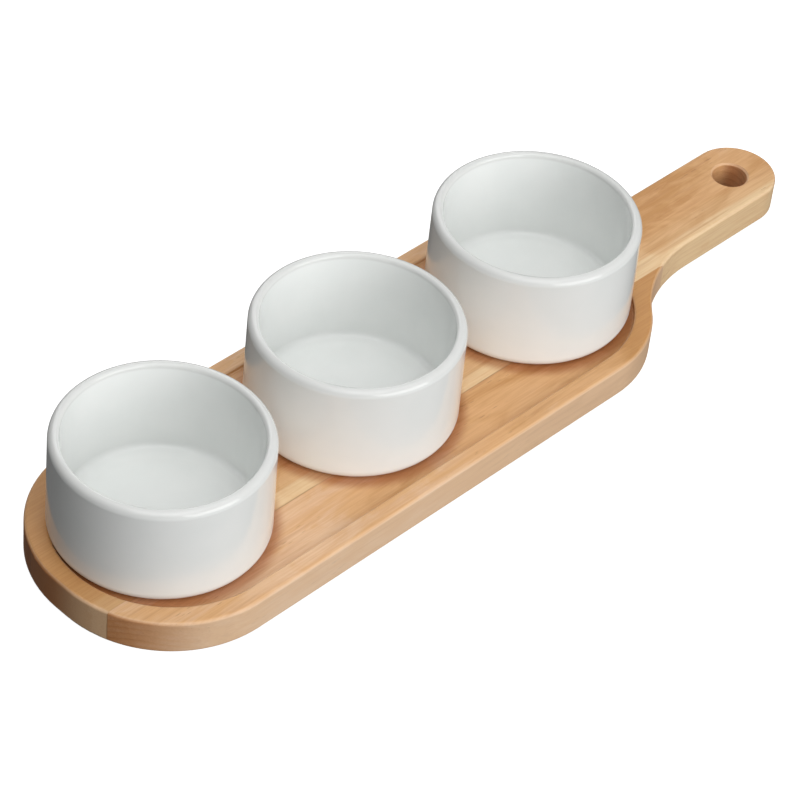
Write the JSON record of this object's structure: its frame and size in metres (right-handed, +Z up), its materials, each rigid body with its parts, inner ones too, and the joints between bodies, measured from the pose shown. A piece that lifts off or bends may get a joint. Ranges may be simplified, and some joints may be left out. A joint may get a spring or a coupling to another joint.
{
  "type": "chip and dip server",
  "caption": "Paddle-shaped hardwood serving board with a hanging hole in its handle and a shallow recess that holds a row of round porcelain dip bowls.",
  "frame": {"origin": "under the middle of the board's length and width, on its flat underside", "axes": "+X along the board towards the handle's end, +Z up out of the ramekins' mouths, -Y the front side"},
  "size_m": [0.42, 0.1124, 0.0615],
  "materials": {
    "stave_front_wood": "oiled pale hardwood",
    "stave_middle_wood": "oiled pale hardwood",
    "stave_back_wood": "oiled pale hardwood",
    "white_glaze": "white gloss glaze over porcelain"
  },
  "bodies": {
    "board": {"board_stave_front": "stave_front_wood", "board_stave_middle": "stave_middle_wood", "board_stave_back": "stave_back_wood"},
    "ramekin_by_blunt_end": {"ramekin_by_blunt_end": "white_glaze"},
    "ramekin_middle": {"ramekin_middle": "white_glaze"},
    "ramekin_by_handle": {"ramekin_by_handle": "white_glaze"}
  },
  "joints": [
    {"name": "lift_ramekin_by_blunt_end", "type": "slide", "parent": "board", "child": "ramekin_by_blunt_end", "axis": [0, 0, 1], "range_m": [0, 0.08]},
    {"name": "lift_ramekin_middle", "type": "slide", "parent": "board", "child": "ramekin_middle", "axis": [0, 0, 1], "range_m": [0, 0.08]},
    {"name": "lift_ramekin_by_handle", "type": "slide", "parent": "board", "child": "ramekin_by_handle", "axis": [0, 0, 1], "range_m": [0, 0.08]}
  ]
}
